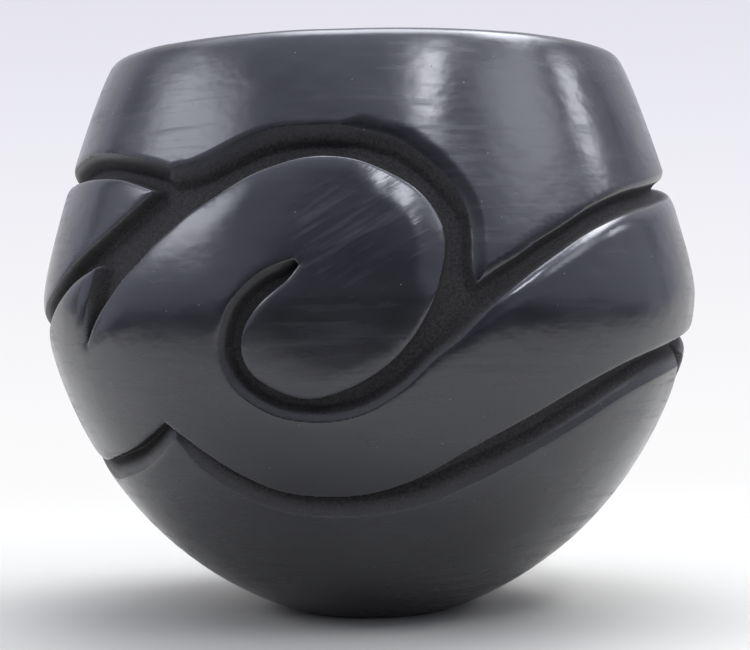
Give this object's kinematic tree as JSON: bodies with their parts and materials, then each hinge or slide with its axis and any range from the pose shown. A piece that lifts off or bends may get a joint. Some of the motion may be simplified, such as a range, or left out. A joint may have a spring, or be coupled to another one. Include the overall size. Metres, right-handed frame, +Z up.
{
  "type": "pottery jar",
  "caption": "Low round burnished clay jar with a wide mouth and a deep carved wave-and-curl relief round its wall.",
  "frame": {"origin": "centre of the flat foot, on the surface that the jar stands on", "axes": "+Z up through the mouth, -Y towards the viewer of the picture's front, +X to the viewer's right"},
  "size_m": [0.127, 0.127, 0.1073],
  "materials": {
    "burnished_clay": "smoke-fired near-black clay, burnished to a soft gloss on the raised faces and left matte in the carved ground"
  },
  "bodies": {
    "root": {"base": "burnished_clay", "lower_coil": "burnished_clay", "belly_coil": "burnished_clay", "shoulder_coil": "burnished_clay", "rim_coil": "burnished_clay"}
  },
  "joints": []
}
